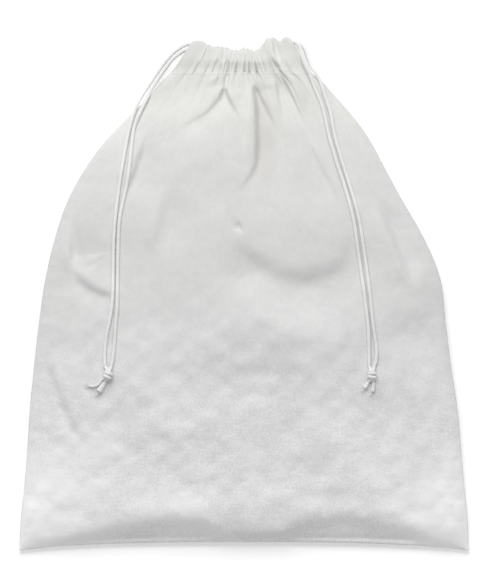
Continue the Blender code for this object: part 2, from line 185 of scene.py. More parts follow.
# Folds of the front panel, in millimetres: ((rise, rise_reach, drop, drop_reach, edge), (shares of the line over
# which it fades in and out), points of the line). The left-hand bank stands up by rise over rise_reach, the
# right-hand one drops by drop over drop_reach, and the step between them is edge wide.
FOLDS = [
    # Pinched pleat under the casing that opens into an upside-down V.
    ((-1.8, 1.6, 1.8, 1.6, 0.6), (0.3, 0.1), [(-11.8, 162), (-11.3, 152), (-12.6, 145), (-13.1, 138.5)]),
    ((1.5, 11, 2.6, 12, 1.7), (0.95, 0.05), [(-51, 106), (-41, 114.5), (-30, 120.5), (-24, 125), (-18.5, 131),
     (-15, 136.5), (-13.1, 141)]),
    ((1.6, 6, 2.2, 8, 1.2), (0.05, 0.75), [(-13.1, 140.5), (-10.8, 134), (-7.1, 126.7), (-4, 121), (-2, 117)]),
    # Short fold left of it.
    ((1, 5, 1.6, 4, 0.8), (0.15, 0.5), [(-15.8, 161), (-16.8, 157), (-17.8, 151.7), (-20, 148), (-23.3, 145.5),
     (-27, 142.5)]),
    # Long upright fold whose left side laps over the right one.
    ((2.4, 14, 4, 26, 1.8), (0.55, 0.1), [(-9.5, 65.5), (-4, 70), (3, 78), (7.8, 87), (9, 100), (8.8, 115),
     (8.2, 131), (6.6, 140), (6, 144)]),
    ((1.4, 8, 2.4, 7, 1.4), (0.1, 0.7), [(6.6, 142.5), (10.5, 135), (15.5, 126), (21.5, 113), (25, 103)]),
    # Below the bulge at the right end of the mouth.
    ((3.4, 9, 2, 5, 0.9), (0.12, 0.65), [(17.8, 164), (20.5, 159), (24, 153.5), (26.2, 148), (29, 143), (33, 135),
     (38.5, 123), (45, 109)]),
    ((1.4, 6, 1.4, 6, 1.4), (0.5, 0.3), [(27.2, 111), (25, 124), (23.2, 136), (22.2, 145), (19.5, 153)]),
    ((1.2, 10, 1.6, 9, 2.6), (0.35, 0.35), [(40, 112), (48, 96), (59, 75), (68, 56)]),
    # Smiling fold: a dark bank under a pouch, and a bright swell below it.
    ((-7.2, 27, -2.4, 13, 8.6), (0.55, 0.22), [(70.5, 60), (71.5, 40), (67, 24), (56, 14.5), (38.4, 11.5),
     (21, 16.5), (7, 25), (-3, 34.5), (-6.2, 43)]),
    ((-2.2, 4.2, 1.2, 4.2, 1.4), (0.45, 0.45), [(-1, 48), (-4.5, 45.5), (-7.5, 42)]),
    ((4.6, 36, -6, 23, 6), (0.3, 0.25), [(86, -37), (62, -35), (38.4, -31), (18, -24), (4, -13), (-9, 2), (-14, 15)]),
    # Hooked hollow near the left side, and soft folds round it.
    ((-2.4, 9, -3, 12, 3.4), (0.3, 0.35), [(-84, -3), (-93, -1), (-104, 3), (-113, 11), (-117, 20)]),
    ((3.4, 11, 5, 13, 3.6), (0.3, 0.7), [(-115, 12), (-118.5, 25), (-118, 42), (-115, 60)]),
    ((2.2, 12, 3.8, 11, 2.6), (0.35, 0.45), [(-83, 62), (-76, 80), (-70, 98), (-64, 115)]),
    ((2.4, 14, 3.4, 14, 6), (0.45, 0.45), [(-60, 18), (-57.5, 42), (-54, 64), (-50, 80)]),
    ((-1.6, 9, -2.4, 11, 3), (0.4, 0.25), [(-106, -108), (-116, -92), (-129, -60), (-139, -33)]),
    # Pillows along the foot.
    ((3, 13, 5.6, 30, 6.4), (0.25, 0.2), [(-140, -176), (-118, -172), (-96, -165.5), (-60, -160.2), (-26, -160.5),
     (-4, -167)]),
    ((3, 13, 5.8, 30, 6.4), (0.2, 0.25), [(16, -171), (30, -164), (48, -158.5), (72.6, -157.2), (106.9, -163),
     (138, -173)]),
    # Right shoulder.
    ((-3, 12, -3.8, 11, 2.8), (0.4, 0.3), [(86, 70), (98, 46), (108, 22), (118, 0)]),
]
FOLD_STEP = 0.0015
FOLD_REACHES = 2.6
FOLD_TIP = (0.25, 0.3)
# Broad swells and hollows of the front panel: (x, y, height, reach along x, reach along y).
SWELLS = metres([
    (40, 48, 2.2, 33, 20), (33, -23, 1.2, 42, 15), (-20, 95, 2, 30, 26), (118, 2, 2.6, 16, 26),
    (113, -30, -2.6, 26, 16), (-55, -35, 1.2, 35, 18), (-20, -90, 1.5, 50, 16), (50, -108, 1.4, 45, 15),
    (-90, -105, 1.2, 32, 20), (0, -62, -1.2, 60, 12), (-110, -140, 1.8, 30, 13), (-35, -150, 1.4, 40, 12),
    (60, -135, 2.2, 30, 16), (-92, -60, 2.4, 30, 20), (88, -60, 1.8, 28, 20), (-94, 19, -3.4, 24, 22),
    (93, 18, -2.6, 24, 24),
])

# Cloth simulation of the front panel: cells of SIM_CELLS of the grid's, spare cloth low in the bag, noise (height,
# size) to start from.
SIM_CELLS = 8
SIM_SPARE_Y = (0.02, -0.06)
SIM_START = (0.0012, 0.045)
SIM_HELD = 0.012
SIM_FRAMES = 40
SIM_SETTINGS = dict(
    quality=6, mass=0.0002, tension_stiffness=12, compression_stiffness=12, shear_stiffness=4, bending_stiffness=0.6,
    tension_damping=5, compression_damping=5, shear_damping=5, air_damping=4, vertex_group_mass="held",
    vertex_group_shrink="spare", shrink_max=-0.02, use_pressure=True, uniform_pressure_force=0.01,
)

# Drawcords: each has the routes of its front and back tails, from casing to knot, and of its front and back cut ends.
# Points without a z lie on the cloth. Cut ends are FRAYED times as wide as the cord.
CORD_DIAMETER = 0.0026
CORD_SIDES = 20
CORD_STEP = 0.00026
ROUTE_STEP = 0.0015
LANDING = 0.012
GROOVE_REACH = 0.004
BRAID_STRANDS = 4
BRAID_PITCH = 0.0029
BRAID_RELIEF = 0.16
FIBRE_COUNT = 9
FIBRE_LENGTH = (0.0016, 0.0034)
FIBRE_RADIUS = (0.0001, 0.0002)
KNOT_CORD = 0.0024
KNOT_TURNS = 1.6
KNOT_RADIUS = 0.0023
KNOT_LENGTH = 0.0042
LOOP_DEPTH = {"left": 0.0072, "right": 0.0041}
LOOP_X = metres([24, 18, 12, 7, 2, -3, -8, -13, -18, -26])
LOOP_TURN = {-1: 0.035, 1: 0.028}
LOOP_REACH = 0.003
CORDS = {"left": metres([
    [(-34.5, 167.6, 17.7), (-38.5, 166.8, 17.8), (-42.5, 164.9, 17.6), (-48.7, 160.2, 16), (-54.1, 153.2, 14.5),
     (-59, 146, 14.2), (-63.2, 139.5, 14.6), (-66.5, 133, 16.5), (-70, 126.2, 18.3), (-73.5, 118.5, 19.9),
     (-75.7, 111), (-77, 101), (-78, 91), (-79.5, 79), (-82.2, 65.5), (-84.5, 55), (-85.8, 44), (-86.4, 25),
     (-86.7, 5), (-87, -10), (-88, -22), (-88.8, -35), (-90, -46), (-91, -50.8)],
    [(-34, 170, 4), (-38.5, 170.2, 4.2), (-43.8, 167.6, 4.5), (-49.8, 162.8, 5.2), (-55.7, 155.6, 6.2),
     (-61, 148.2, 8), (-66.5, 140, 10.5), (-71.5, 132, 15.5), (-75.2, 124, 17.8), (-77.8, 115, 19.8),
     (-80.2, 104), (-82.6, 91), (-84.6, 79), (-86.5, 65), (-88.2, 50), (-89.2, 35), (-89.6, 15), (-90.1, -5),
     (-92, -19), (-94.2, -30), (-95.3, -42), (-95.2, -50.8)],
    [(-95, -60.8), (-97.4, -64.6), (-99.6, -68)],
    [(-97.8, -59.7), (-99.7, -62.7), (-103, -64.2), (-106.5, -63.7)],
]), "right": metres([
    [(27.5, 171.2, 17.6), (32.5, 172, 18), (36.6, 170.4, 18.6), (39, 166.4, 20), (40, 162.2, 21.2),
     (40.9, 158.8, 22), (42.3, 155.2, 22.2), (44.1, 151.5, 21.8), (46.5, 145.5, 21.2), (49.2, 138.5),
     (52.2, 131.5), (54.6, 124.5), (56.3, 117), (57.7, 110), (59.7, 102), (62, 94.5), (64.5, 86), (68.3, 75),
     (72.5, 60.5), (75.5, 48), (77.8, 32), (80.2, 15), (82.4, 0), (84.2, -15), (85.3, -26), (85.7, -38),
     (85.8, -50.5)],
    [(28, 170.4, 4), (34, 171.2, 4.4), (39.2, 170, 6), (42, 166, 8.5), (43.4, 162, 11.5), (44.7, 158.6, 14.5),
     (46.2, 155, 17), (48.8, 151.2, 18.2), (52, 145, 19), (54.2, 138.5, 19.6), (56.6, 131), (59.2, 123),
     (61.2, 112), (63.2, 103), (65.5, 95.5), (68.2, 86.5), (71.8, 75), (76.2, 60.5), (79.2, 48), (81.8, 32),
     (84.2, 15), (86.2, 0), (87.6, -15), (89, -26), (90.7, -38), (90.5, -46), (89.3, -50.5)],
    [(85.2, -61.3), (83.7, -63.7), (82.4, -65.7)],
    [(88.8, -61.4), (88.6, -64.5), (88, -68.2)],
])}
FRAYED = {"left": (1.8, 0.75), "right": (1.35, 1.2)}

# Floor, light and camera.
FLOOR_HALF = 3.0
FLOOR_Z = -0.0003
FLOOR_WHITE = (0.93, 0.93, 0.93, 1)
FLOOR_GLOW = 0.2
VIEW_HEIGHT = 0.3973
VIEW_PLACE = (-0.0027, 0.0017, 2.5)
WORLD_LIGHT = 0.42
LIGHTS = (("key", (-0.22, 1.5, 1.84), 1.6, 42.0), ("fill", (0.35, -0.35, 1.7), 1.2, 1.5))


# ---- numbers


def smoothstep(t):
    t = np.clip(t, 0, 1)
    return t * t * (3 - 2 * t)


def smooth(at, place, value):
    """Values at the given places of the smooth curve through the knots."""
    place, value = np.asarray(place, float), np.asarray(value, float)
    slope = np.gradient(value, place)
    at = np.clip(np.asarray(at, float), place[0], place[-1])
    i = np.clip(np.searchsorted(place, at, side="right") - 1, 0, len(place) - 2)
    span = place[i + 1] - place[i]
    t = (at - place[i]) / span
    return (value[i] * (1 + 2 * t) * (1 - t) ** 2 + value[i + 1] * t * t * (3 - 2 * t)
            + slope[i] * span * t * (1 - t) ** 2 - slope[i + 1] * span * t * t * (1 - t))


def between_knots(a, b, c, d, t):
    """The smooth curve from knot b to knot c at the share t of the way; a and d are the knots around them."""
    return 0.5 * (2 * b + (c - a) * t + (2 * a - 5 * b + 4 * c - d) * t * t + (3 * b - a - 3 * c + d) * t ** 3)


def unit(vector):
    return vector / np.linalg.norm(vector)


def walked(path):
    """How far along a path each of its points is."""
    return np.concatenate([[0], np.cumsum(np.linalg.norm(np.diff(path, axis=0), axis=1))])


def length_of(path):
    return float(np.linalg.norm(np.diff(np.array(path, float), axis=0), axis=1).sum())


def through(points, spacing):
    """Points at the given spacing on the smooth curve through knots of any dimension."""
    knots = np.array(points, float)
    ends = np.vstack([2 * knots[0] - knots[1], knots, 2 * knots[-1] - knots[-2]])
    fine = []
    for a, b, c, d in zip(ends, ends[1:], ends[2:], ends[3:]):
        fine += [between_knots(a, b, c, d, t) for t in np.arange(16) / 16]
    fine = np.vstack([fine, knots[-1]])
    length = walked(fine)
    places = np.linspace(0, length[-1], max(int(round(length[-1] / spacing)), 2) + 1)
    return np.stack([np.interp(places, length, column) for column in fine.T], axis=1)


def along_line(x, y, line):
    """Signed distance of points from a line, positive on its right hand, and the share of the way along it."""
    best = np.full(x.shape, 1e9)
    signed, share = np.zeros(x.shape), np.zeros(x.shape)
    steps = np.diff(line, axis=0)
    start = walked(line)
    for a, step, length, s in zip(line, steps, np.linalg.norm(steps, axis=1), start):
        px, py = x - a[0], y - a[1]
        t = np.clip((px * step[0] + py * step[1]) / length ** 2, 0, 1)
        d = np.hypot(px - t * step[0], py - t * step[1])
        near = d < best
        side = np.where(step[0] * py - step[1] * px > 0, -1.0, 1.0)
        best = np.where(near, d, best)
        signed = np.where(near, side * d, signed)
        share = np.where(near, (s + t * length) / start[-1], share)
    return signed, share


def field(x, y, size, seed, octaves=3):
    """Smooth noise from -1 to 1 whose features are about size wide."""
    flat = [noise.fractal(Vector((a / size, b / size, seed)), 1.0, 2.0, octaves) for a, b in zip(x.ravel(), y.ravel())]
    return np.array(flat).reshape(x.shape)


# ---- shape of the cloth


def rows_of(node):
    """y, left x, right x, lowest z and highest z of each row of points of a CAD panel."""
    points = np.array([v.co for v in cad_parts[node].data.vertices], float)
    rows = []
    for y in np.unique(np.round(points[:, 1], 4)):
        row = points[np.abs(points[:, 1] - y) < 0.0001]
        rows.append((y, row[:, 0].min(), row[:, 0].max(), row[:, 2].min(), row[:, 2].max()))
    return np.array(rows).T


ROW_Y, ROW_LEFT, ROW_RIGHT, FRONT_EDGE_Z, CROWN_Z = rows_of("front_panel")
BACK_EDGE_Z = rows_of("back_panel")[4]


def edges_at(y):
    return smooth(y, ROW_Y, ROW_LEFT), smooth(y, ROW_Y, ROW_RIGHT)


def share_across(x, left, right):
    """-1 at the left, 0 in the middle, 1 at the right."""
    return (2 * x - left - right) / (right - left)


def place_across(u, left, right):
    return (right + left) / 2 + u * (right - left) / 2


def along_mouth(u):
    """The place along the casing's stitches that lies on the same thread as u."""
    left, right = edges_at(np.array([STITCH_Y]))
    return place_across(u, left[0], right[0])


def inwards(u, width):
    """0 at the side seams, 1 from width inwards."""
    return smoothstep((1 - np.abs(u)) / width)


def pleats(c, up):
    """How far the mouth's gathers stand up at the place c along it and at a height above the stitches."""
    pinches = np.array(PINCHES)
    k = np.clip(np.searchsorted(pinches, c, side="right") - 1, 0, len(pinches) - 2)
    off = np.minimum(np.abs(c - pinches[k]), np.abs(pinches[k + 1] - c)) / PINCH_WIDTH
    pinch = np.exp(-off ** 0.9 * 1.6)
    middles = (pinches[1:] + pinches[:-1]) / 2
    height = np.interp(c, middles, PLEAT_HEIGHTS)
    reach = np.interp(c, middles, PLEAT_LENGTHS)
    below, above = np.maximum(-up, 0), np.maximum(up, 0)
    kept = np.exp(-(below / reach) ** 1.3) * (0.35 + 0.65 * np.exp(-(above / PINCH_FADE) ** 1.5))
    nearest = np.abs(np.asarray(c)[..., None] - np.array(PUCKERS)).min(-1)
    middle, spread = PUCKER_PLACE
    pucker = np.exp(-(nearest / PUCKER_WIDTH) ** 2 - ((up - middle) / spread) ** 4)
    return height * (1 - pinch * kept) * np.exp(-(below / PLEAT_FADE) ** 2) - PUCKER_DEPTH * pucker


def fold_relief(x, y):
    z = np.zeros(x.shape)
    narrowest, least = FOLD_TIP
    for banks, (first, last), points in FOLDS:
        rise, rise_reach, drop, drop_reach, edge = metres(banks)
        line = through(metres(points), FOLD_STEP)
        reach = FOLD_REACHES * max(rise_reach, drop_reach)
        low, high = line.min(0) - reach, line.max(0) + reach
        near = (x > low[0]) & (x < high[0]) & (y > low[1]) & (y < high[1])
        d, s = along_line(x[near], y[near], line)
        right = 0.5 + 0.5 * np.tanh(d / edge)
        wide = (1 - narrowest) * smoothstep(s / max(first, least)) * smoothstep((1 - s) / max(last, least))
        wide += narrowest
        relief = (1 - right) * rise * np.exp(-(d / (rise_reach * wide)) ** 2)
        relief -= right * drop * np.exp(-(np.abs(d) / (drop_reach * wide)) ** 1.5)
        z[near] += relief * smoothstep(s / first) * smoothstep((1 - s) / last)
    for sx, sy, height, reach_x, reach_y in SWELLS:
        z += height * np.exp(-((x - sx) / reach_x) ** 2 - ((y - sy) / reach_y) ** 2)
    return z


def front_relief(u, x, y):
    """Gathers and folds of the bag's front, panel and casing alike."""
    return inwards(u, SEAM_FADE) * (pleats(along_mouth(u), y - STITCH_Y) + fold_relief(x, y))


def panel_grid(across, along):
    """u, v, x and y of a panel's grid: rows from the bottom seam to the casing's stitches."""
    u = np.linspace(-1, 1, across + 1)
    u = np.sign(u) * (1 - (1 - np.abs(u)) ** EDGE_CROWDING)
    u, v = np.meshgrid(u, np.linspace(0, 1, along + 1))
    foot = foot_of(u)
    y = foot + v * (STITCH_Y - foot)
    left, right = edges_at(y)
    return u, v, place_across(u, left, right), y


def foot_of(u):
    """y of the bottom edge, which bows up between its corners."""
    return ROW_Y[0] + FOOT_CURVE * (1 - np.abs(u) ** 3)


def crown(u, v, y):
    """The front panel before its gathers and folds."""
    edge = smooth(y, ROW_Y, FRONT_EDGE_Z)
    high = smooth(ROW_Y[0] + v * (STITCH_Y - ROW_Y[0]), ROW_Y, CROWN_Z)
    power, root = CROWN_ROUNDNESS
    z = edge + (high - edge) * np.maximum(1 - np.abs(u) ** power, 0) ** root
    at_stitch = np.exp(-((STITCH_Y - y) / STITCH_REACH) ** 2)
    return z * (1 - at_stitch) + at_stitch * (STITCH_Z["front"] - STITCH_DIP * np.abs(u) ** 3)


def back_start(across, along):
    """The back panel, flat on what the bag lies on and rising to its side seams and its casing."""
    u, v, x, y = panel_grid(across, along)
    edge = smooth(y, ROW_Y, BACK_EDGE_Z)
    foot_y, foot_reach = BACK_FOOT
    foot = np.maximum((foot_y - y) / foot_reach, 0) ** 2 * edge
    neck = np.maximum((y - BACK_NECK_Y) / (STITCH_Y - BACK_NECK_Y), 0) ** 2 * STITCH_Z["back"]
    middle = BACK_FLAT + foot + neck
    z = middle + (edge - middle) * np.maximum((np.abs(u) - BACK_SIDE) / (1 - BACK_SIDE), 0) ** 2
    gathers = inwards(u, SEAM_FADE) * pleats(along_mouth(u), y - STITCH_Y)
    return np.stack([x, y, z - BACK_GATHERS * gathers], -1)


def grid_faces(rows, columns, flip=False, closed=False):
    faces = []
    for j in range(rows - 1):
        for i in range(columns - (0 if closed else 1)):
            a, b = j * columns + i, j * columns + (i + 1) % columns
            quad = (a, b, b + columns, a + columns)
            faces.append(quad[::-1] if flip else quad)
    return faces


def tube_faces(rings, sides):
    """Faces of a closed tube whose rings turn left about the way it runs."""
    last = (rings - 1) * sides
    ends = [tuple(reversed(range(sides))), tuple(range(last, last + sides))]
    return grid_faces(rings, sides, closed=True) + ends


def new_mesh(name, points, faces, finish=None):
    mesh = bpy.data.meshes.new(name)
    mesh.from_pydata([tuple(p) for p in points], [], faces)
    mesh.shade_smooth()
    if finish:
        mesh.materials.append(finish)
    made = bpy.data.objects.new(name, mesh)
    bpy.context.scene.collection.objects.link(made)
    return made


def points_of(mesh):
    co = np.zeros(len(mesh.vertices) * 3)
    mesh.vertices.foreach_get("co", co)
    return co.reshape(-1, 3)


def settle():
    """How Blender's cloth moves the front panel: a little more cloth than room, held at its edges, slack inside."""
    u, v, x, y = panel_grid(ACROSS * FINER // SIM_CELLS, ALONG * FINER // SIM_CELLS)
    z = crown(u, v, y)
    top, low = SIM_SPARE_Y
    inside = inwards(u, 0.2) * smoothstep((y - foot_of(u)) / 0.03)
    lower = smoothstep((top - y) / (top - low))
    height, size = SIM_START
    rough = z + inside * lower * height * field(x, y, size, 41, 2)
    rows, columns = x.shape
    cloth = new_mesh("cloth_work", np.stack([x, y, rough], -1).reshape(-1, 3), grid_faces(rows, columns))
    held = cloth.vertex_groups.new(name="held")
    spare = cloth.vertex_groups.new(name="spare")
    for j in range(rows):
        for i in range(columns):
            if i in (0, columns - 1) or j == 0 or y[j, i] > STITCH_Y - SIM_HELD:
                held.add([j * columns + i], 1.0, "REPLACE")
            spare.add([j * columns + i], float(lower[j, i]), "REPLACE")
    modifier = cloth.modifiers.new("cloth", "CLOTH")
    for key, value in SIM_SETTINGS.items():
        setattr(modifier.settings, key, value)
    modifier.point_cache.frame_end = SIM_FRAMES
    scene = bpy.context.scene
    for number in range(1, SIM_FRAMES + 1):
        scene.frame_set(number)
    moved = cloth.evaluated_get(bpy.context.evaluated_depsgraph_get())
    settled = points_of(moved.data).reshape(rows, columns, 3)
    scene.frame_set(1)
    bpy.data.objects.remove(cloth)
    return (settled - np.stack([x, y, z], -1)) * (0.25 + 0.75 * lower)[..., None]


def finer(grid, times):
    """The grid with times as many cells each way, on smooth curves through its points."""
    for axis in (0, 1):
        grid = np.moveaxis(grid, axis, 0)
        ends = np.concatenate([[2 * grid[0] - grid[1]], grid, [2 * grid[-1] - grid[-2]]])
        parts = [between_knots(ends[:-3], ends[1:-2], ends[2:-1], ends[3:], k / times) for k in range(times)]
        fine = np.stack(parts, 1).reshape(-1, *grid.shape[1:])
        grid = np.moveaxis(np.concatenate([fine, grid[-1:]]), 0, axis)
    return grid


def crinkles(x, y, u, seed):
    """Small creases all over the cloth, most of them in its lower half, and puckers along the side seams."""
    start, reach = CREASES_LOW_Y
    low = 0.25 + 0.75 * smoothstep((start - y) / reach)
    off = 1 - np.abs(u)
    seam = np.exp(-off / 0.07) * (1 - np.exp(-off / 0.012))
    (a, wide), (b, sharp), (c, fine), (d, puckers) = (
        (height, field(x * squeezed, y, size, seed + more, 2)) for height, size, more, squeezed in CREASES)
    z = a * wide + b * low * (0.4 - np.abs(sharp)) + c * low * fine + d * seam * puckers
    return z * inwards(u, 0.01) * smoothstep((STITCH_Y - y) / ROW_FADE)


class Ground:
    """The finished cloth as something to lay cords on."""

    def __init__(self, grid):
        points = [tuple(p) for p in grid.reshape(-1, 3)]
        self.tree = BVHTree.FromPolygons(points, grid_faces(*grid.shape[:2]))

    def height(self, x, y):
        hit = self.tree.ray_cast(Vector((x, y, 0.1)), Vector((0, 0, -1)))[0]
        return hit.z if hit else None


# ---- cords and threads


def frames_along(path):
    """Side and up at each point of a path, turning as little as they can."""
    tangent = np.gradient(path, axis=0)
    tangent /= np.linalg.norm(tangent, axis=1)[:, None]
    side = unit(np.cross((0, 0, 1), tangent[0]))
    sides = []
    for t in tangent:
        side = unit(side - (side @ t) * t)
        sides.append(side)
    sides = np.array(sides)
    return sides, np.cross(tangent, sides)


def round_tube(path, radii, sides):
    """Points and faces of a closed tube along a path, with a radius for each ring or for each point of each ring."""
    side, up = frames_along(path)
    angle = np.linspace(0, 2 * math.pi, sides, endpoint=False)[:, None]
    radii = radii.reshape(len(path), -1)[..., None]
    rings = path[:, None] + radii * (np.cos(angle) * side[:, None] + np.sin(angle) * up[:, None])
    return rings.reshape(-1, 3), tube_faces(len(path), sides)


def braid(path, diameter, flare=1.0):
    """Points, faces and path of a braided cord, closed at both ends and flare times as wide at its far one."""
    path = through(path, CORD_STEP)
    length = walked(path)
    angle = np.linspace(0, 2 * math.pi, CORD_SIDES, endpoint=False)
    s, a = np.meshgrid(length, angle, indexing="ij")
    bumps = np.abs(np.cos(2 * math.pi * s / BRAID_PITCH) - np.cos(BRAID_STRANDS * a)) / 2
    radius = diameter / 2 * (1 - BRAID_RELIEF + BRAID_RELIEF * bumps ** 0.5)
    radius *= (1 + (flare - 1) * smoothstep(length / length[-1]))[:, None]
    ends = np.minimum(length, length[-1] - length)
    radius *= (0.55 + 0.45 * smoothstep(ends / (diameter * 0.3)))[:, None]
    return *round_tube(path, radius, CORD_SIDES), path


def joined(name, parts, finish):
    """One object from several (points, faces)."""
    points, faces = [], []
    for part_points, part_faces in parts:
        start = len(points)
        points += [tuple(p) for p in part_points]
        faces += [tuple(start + i for i in face) for face in part_faces]
    return new_mesh(name, points, faces, finish)


def laid(route, ground):
    """The route with a z at each point, and the points close enough together to follow the cloth."""
    lift = CORD_DIAMETER / 2
    known = [p for p in route if len(p) == 3]
    points = [p if len(p) == 3 else (*p, ground.height(*p) + lift) for p in route]
    free = length_of(known) if known else 0.0
    path = through(points, ROUTE_STEP)
    under = [ground.height(x, y) for x, y, _ in path]
    rest = np.array([z + lift if z is not None else -1 for z in under])
    on_cloth = smoothstep((walked(path) - free) / LANDING)
    z = path[:, 2] * (1 - on_cloth) + np.where(rest > 0, rest, path[:, 2]) * on_cloth
    z = np.maximum(z, rest)
    width = 7
    padded = np.pad(z, width // 2, mode="edge")
    z = np.maximum(np.convolve(padded, np.ones(width) / width, "valid"), rest - 0.0002)
    return np.stack([path[:, 0], path[:, 1], z], 1)


def press(grid, paths):
    """The cloth with a shallow groove under each cord."""
    points = np.concatenate(paths)
    radius = CORD_DIAMETER / 2
    grid = grid.copy()
    flat = grid[..., :2].reshape(-1, 2)
    z = grid[..., 2].reshape(-1)
    low, high = points[:, :2].min(0) - GROOVE_REACH, points[:, :2].max(0) + GROOVE_REACH
    near = np.where(((flat > low) & (flat < high)).all(1))[0]
    for chunk in np.array_split(near, 40):
        d = np.linalg.norm(flat[chunk, None] - points[None, :, :2], axis=2)
        k = d.argmin(1)
        d = d[np.arange(len(chunk)), k]
        allowed = points[k, 2] - radius - 0.0001 + (d / (2.4 * radius)) ** 2 * 1.5 * radius
        z[chunk] = np.where(d < 3 * radius, np.minimum(z[chunk], allowed), z[chunk])
    grid[..., 2] = z.reshape(grid.shape[:2])
    return grid


def fibres(tip, direction, seed):
    """Loose strands at a cord's cut end, each a plain tube that narrows to its far end."""
    rng = np.random.default_rng(seed)
    parts = []
    for _ in range(FIBRE_COUNT):
        aim = unit(direction + rng.normal(size=3) * (0.45, 0.45, 0.18))
        start = tip + rng.normal(size=3) * 0.0004
        bend = rng.normal(size=3) * (0.0005, 0.0005, 0.0002)
        reach = rng.uniform(*FIBRE_LENGTH)
        line = [start, start + aim * reach * 0.5 + bend, start + aim * reach]
        path = through(line, length_of(line) / 6)
        parts.append(round_tube(path, np.linspace(1, 0.5, len(path)) * rng.uniform(*FIBRE_RADIUS), 5))
    return parts


def knot_parts(centre, tails, ends):
    """An overhand knot of the doubled cord: both strands go once and a half round and out to their cut ends."""
    along = (ends[0][0] + ends[1][0]) / 2 - (tails[0][-1] + tails[1][-1]) / 2
    along[2] = 0
    along = unit(along)
    up = np.array((0, 0, 1.0))
    side = np.cross(up, along)
    parts = []
    for tail, end, shift, start_angle in zip(tails, ends, (-0.5, 0.5), (0.5, 0.35)):
        last = tail[-1] - tail[-2]
        path = [tail[-1] - 0.002 * last / np.linalg.norm(last), tail[-1]]
        offset = shift * KNOT_CORD * 1.05
        for step in range(13):
            t = step / 12
            angle = math.pi * start_angle + KNOT_TURNS * 2 * math.pi * t
            radius = KNOT_RADIUS * math.sin(math.pi * min(max(t, 0.12), 0.88)) ** 0.4
            a = (t - 0.5) * KNOT_LENGTH + offset * math.sin(math.pi * t)
            path.append(centre + along * (a + 0.25 * radius * math.cos(angle))
                        + side * radius * math.cos(angle) + up * radius * 0.85 * math.sin(angle))
        path.append(end[0])
        parts.append(braid(path, KNOT_CORD)[:2])
    return parts


def stitches(lines, length=STITCH_LENGTH, gap=STITCH_GAP, radius=STITCH_RADIUS):
    """Stitches along lines that lie on the cloth, each a thread that dives in at both ends."""
    parts = []
    for line in lines:
        line = through(line, STITCH_STEP)
        places = walked(line)
        for start in np.arange(gap / 2, places[-1] - length, length + gap):
            at = start + length * np.array((0, 0.12, 0.5, 0.88, 1.0))
            points = np.stack([np.interp(at, places, column) for column in line.T], 1)
            parts.append(round_tube(points, radius * np.array((0.25, 0.85, 1.0, 0.85, 0.25)), STITCH_SIDES))
    return parts


def overlock(line, width, pitch):
    """The thread that zigzags over the raw edge of a seam allowance."""
    line = through(line, pitch)
    tangent = np.gradient(line, axis=0)
    tangent /= np.linalg.norm(tangent, axis=1)[:, None]
    over = np.cross(tangent, (0, 0, 1)) * width / 2
    return [np.array([a - da, b + db]) for a, b, da, db in zip(line[:-1], line[1:], over[:-1], over[1:])]


def ribbon(line, across, thickness, seed):
    """A strip of cloth along a line, as wide as the vector across and closed all round."""
    rng = np.random.default_rng(seed)
    wide = np.array(across) * (1 + rng.normal(scale=ALLOWANCE_RAGGED, size=(len(line), 1)))
    top = np.stack([line + wide * k for k in np.linspace(-0.5, 0.5, 7)], 1)
    down = np.array((0, 0, -thickness))
    ring = np.concatenate([top, top[:, ::-1] + down], 1)
    return ring.reshape(-1, 3), tube_faces(len(line), ring.shape[1])


# ---- finishes


class Nodes:
    """A material being put together from nodes."""

    def __init__(self, name):
        self.material = bpy.data.materials.new(name)
        self.material.use_nodes = True
        self.tree = self.material.node_tree
        self.shader = self.tree.nodes["Principled BSDF"]

    def add(self, kind, inputs=(), **settings):
        node = self.tree.nodes.new(kind)
        for key, value in settings.items():
            setattr(node, key, value)
        for key, value in dict(inputs).items():
            self.put(node.inputs[key], value)
        return node

    def put(self, socket, value):
        if isinstance(value, bpy.types.NodeSocket):
            self.tree.links.new(value, socket)
        else:
            socket.default_value = value

    def set(self, name, value):
        self.put(self.shader.inputs[name], value)

    def math(self, operation, a, b):
        return self.add("ShaderNodeMath", {0: a, 1: b}, operation=operation).outputs[0]

    def sum(self, *terms):
        parts = [self.math("MULTIPLY", socket, weight) for socket, weight in terms]
        total = parts[0]
        for part in parts[1:]:
            total = self.math("ADD", total, part)
        return total

    def noise(self, place, scale, detail=3.0, roughness=0.55):
        inputs = {"Vector": place, "Scale": scale, "Detail": detail, "Roughness": roughness}
        return self.add("ShaderNodeTexNoise", inputs).outputs["Fac"]

    def stretched(self, place, scale):
        return self.add("ShaderNodeMapping", {"Vector": place, "Scale": scale}).outputs[0]

    def mix(self, share, a, b):
        node = self.add("ShaderNodeMix", {0: share}, data_type="RGBA")
        for socket, value in ((node.inputs[6], a), (node.inputs[7], b)):
            self.put(socket, value if isinstance(value, bpy.types.NodeSocket) else (*value, 1))
        return node.outputs[2]

    def share(self, value, low, high, to_low=0.0, to_high=1.0):
        inputs = {"Value": value, 1: low, 2: high, 3: to_low, 4: to_high}
        return self.add("ShaderNodeMapRange", inputs).outputs[0]

    def bump(self, height, strength, distance):
        node = self.add("ShaderNodeBump", {"Height": height, "Strength": strength, "Distance": distance})
        self.set("Normal", node.outputs[0])


